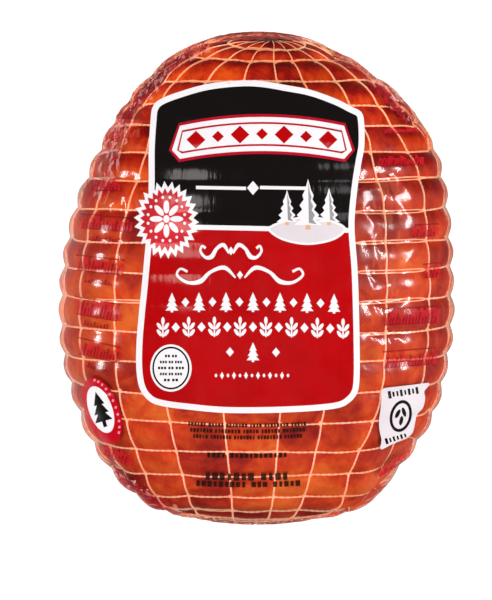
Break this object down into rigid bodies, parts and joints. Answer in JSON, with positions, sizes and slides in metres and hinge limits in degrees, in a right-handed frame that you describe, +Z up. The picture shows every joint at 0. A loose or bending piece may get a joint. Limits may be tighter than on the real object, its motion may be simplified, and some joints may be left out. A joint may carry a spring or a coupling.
{
  "type": "whole boneless ham in a clear bag",
  "caption": "Egg-shaped whole boneless ham in an elastic net, sealed in a tight clear printed bag, lying on its back.",
  "frame": {"origin": "centre of the bounding box's bottom face, on the surface the ham lies on", "axes": "+Z up out of the broad face with the label, +Y along the length towards the tapered end, +X towards the right side of the label"},
  "size_m": [0.2404, 0.3004, 0.1538],
  "materials": {
    "meat": "smoked orange-brown meat, glossy and moist under clear film",
    "film": "thin clear shrink film, glossy",
    "net": "pale elastic thread stained by the meat",
    "print": "ink printed on the film, glossy"
  },
  "bodies": {
    "root": {"bagged_ham": "meat"}
  },
  "joints": []
}
